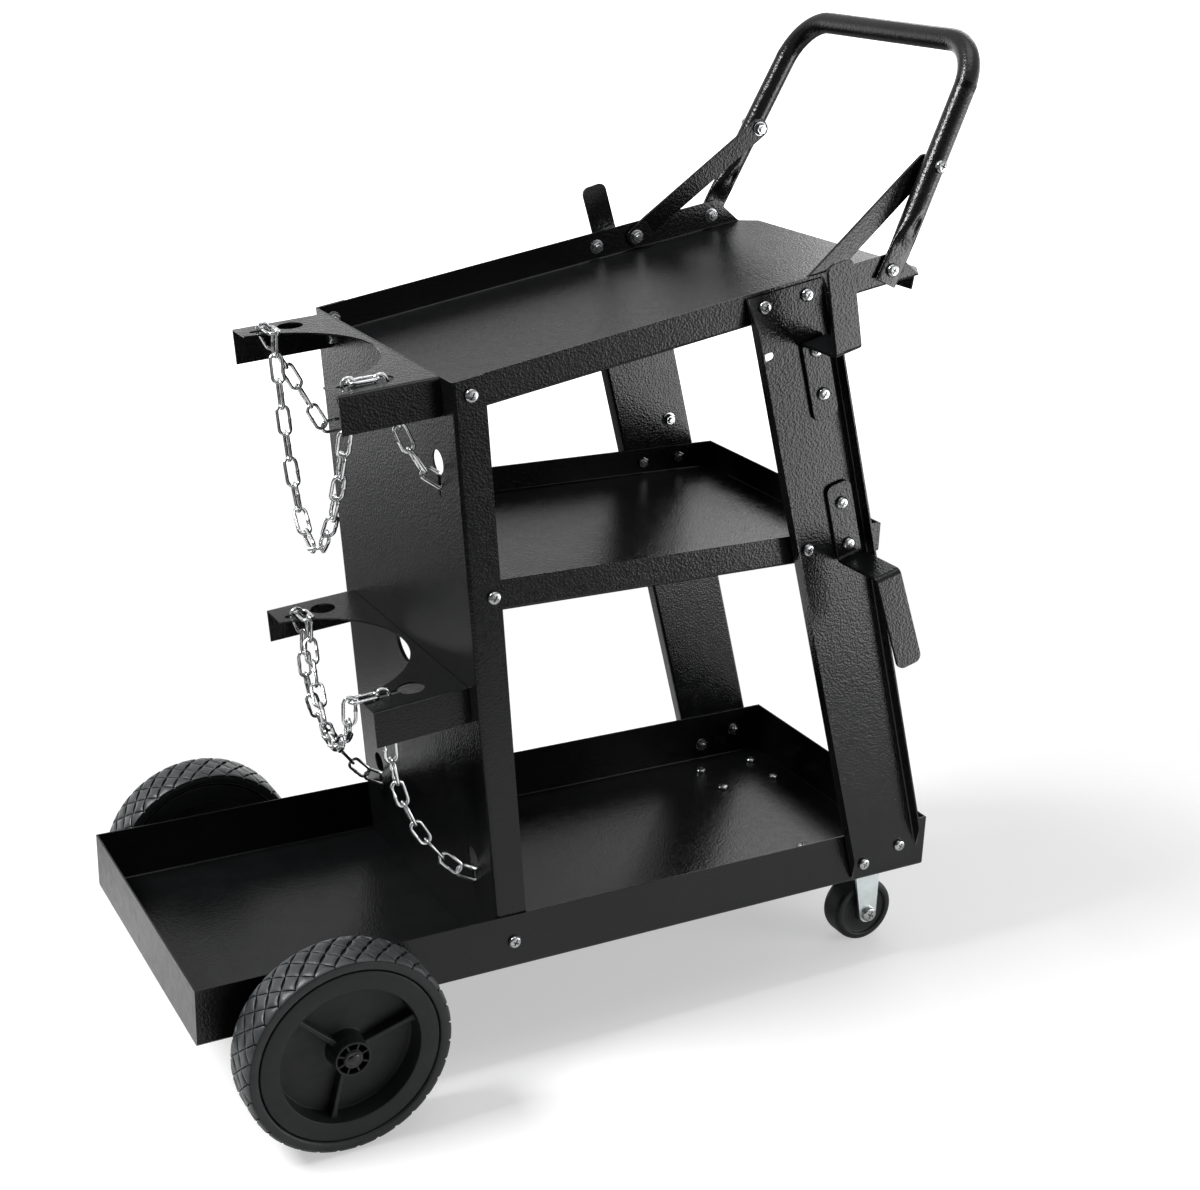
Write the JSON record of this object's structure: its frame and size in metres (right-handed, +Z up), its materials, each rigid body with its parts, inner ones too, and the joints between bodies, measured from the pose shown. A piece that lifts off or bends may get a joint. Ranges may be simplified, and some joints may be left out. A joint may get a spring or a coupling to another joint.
{
  "type": "welding cart",
  "caption": "Folded sheet-metal welding cart with a sloping top shelf, chained cylinder bay, cable hooks, tube handle, rear wheels and swivel casters.",
  "frame": {"origin": "on the floor under the middle of the tray", "axes": "+X to the handle, +Y to the right side, +Z up"},
  "size_m": [0.711, 0.4338, 0.8589],
  "materials": {
    "black_coat": "semi-gloss black powder coat with a fine orange-peel texture",
    "zinc": "zinc plated",
    "chain_zinc": "bright zinc plated",
    "tyre": "dull dark grey rubber",
    "black_plastic": "satin black moulded plastic"
  },
  "bodies": {
    "cart": {"bottom_tray": "black_coat", "back_panel": "black_coat", "top_shelf": "black_coat", "middle_shelf": "black_coat", "handle": "black_coat", "upper_bracket": "black_coat", "lower_bracket": "black_coat", "left_leg": "black_coat", "left_upper_hook": "black_coat", "left_lower_hook": "black_coat", "left_brace": "black_coat", "left_axle_strap": "black_coat", "right_leg": "black_coat", "right_upper_hook": "black_coat", "right_lower_hook": "black_coat", "right_brace": "black_coat", "right_axle_strap": "black_coat", "upper_chain_left_tail": "chain_zinc", "upper_chain_right_tail": "chain_zinc", "lower_chain_left_tail": "chain_zinc", "lower_chain_right_tail": "chain_zinc", "left_panel_tray_screw": "zinc", "left_panel_middle_screw": "zinc", "left_panel_top_screw": "zinc", "left_handle_screw": "zinc", "left_brace_screw": "zinc", "left_leg_foot_rear_screw": "zinc", "left_leg_foot_front_screw": "zinc", "left_leg_top_rear_screw": "zinc", "left_leg_top_front_screw": "zinc", "left_axle_spacer": "zinc", "left_axle_cap": "zinc", "left_caster_plate": "zinc", "left_caster_kingpin": "zinc", "right_panel_tray_screw": "zinc", "right_panel_middle_screw": "zinc", "right_panel_top_screw": "zinc", "right_handle_screw": "zinc", "right_brace_screw": "zinc", "right_leg_foot_rear_screw": "zinc", "right_leg_foot_front_screw": "zinc", "right_leg_top_rear_screw": "zinc", "right_leg_top_front_screw": "zinc", "right_axle_spacer": "zinc", "right_axle_cap": "zinc", "right_caster_plate": "zinc", "right_caster_kingpin": "zinc", "rear_axle": "zinc"},
    "left_rear_wheel": {"left_tyre": "tyre", "left_hub": "black_plastic"},
    "left_caster_swivel": {"left_caster_fork": "zinc", "left_caster_axle": "zinc"},
    "left_caster_roller": {"left_caster_wheel": "black_plastic"},
    "right_rear_wheel": {"right_tyre": "tyre", "right_hub": "black_plastic"},
    "right_caster_swivel": {"right_caster_fork": "zinc", "right_caster_axle": "zinc"},
    "right_caster_roller": {"right_caster_wheel": "black_plastic"},
    "upper_loop": {"upper_chain_loop": "chain_zinc"},
    "lower_loop": {"lower_chain_loop": "chain_zinc"}
  },
  "joints": [
    {"name": "left_wheel_spin", "type": "hinge", "parent": "cart", "child": "left_rear_wheel", "pos_m": [-0.2479, -0.182, 0.088], "axis": [0, 1, 0], "continuous": true},
    {"name": "left_caster_turn", "type": "hinge", "parent": "cart", "child": "left_caster_swivel", "pos_m": [0.2985, -0.094, 0.08], "axis": [0, 0, 1], "continuous": true},
    {"name": "left_caster_roll", "type": "hinge", "parent": "left_caster_swivel", "child": "left_caster_roller", "pos_m": [0.3225, -0.094, 0.03175], "axis": [0, 1, 0], "continuous": true},
    {"name": "right_wheel_spin", "type": "hinge", "parent": "cart", "child": "right_rear_wheel", "pos_m": [-0.2479, 0.182, 0.088], "axis": [0, 1, 0], "continuous": true},
    {"name": "right_caster_turn", "type": "hinge", "parent": "cart", "child": "right_caster_swivel", "pos_m": [0.2985, 0.094, 0.08], "axis": [0, 0, 1], "continuous": true},
    {"name": "right_caster_roll", "type": "hinge", "parent": "right_caster_swivel", "child": "right_caster_roller", "pos_m": [0.3225, 0.094, 0.03175], "axis": [0, 1, 0], "continuous": true},
    {"name": "upper_chain_swing", "type": "hinge", "parent": "cart", "child": "upper_loop", "pos_m": [-0.20064, -0.0111, 0.60591], "axis": [0.0283, 0.9996, 0.0027], "range_deg": [-25, 20]},
    {"name": "lower_chain_swing", "type": "hinge", "parent": "cart", "child": "lower_loop", "pos_m": [-0.18979, -0.0111, 0.34663], "axis": [0.1794, 0.9836, 0.017], "range_deg": [-25, 30]}
  ]
}
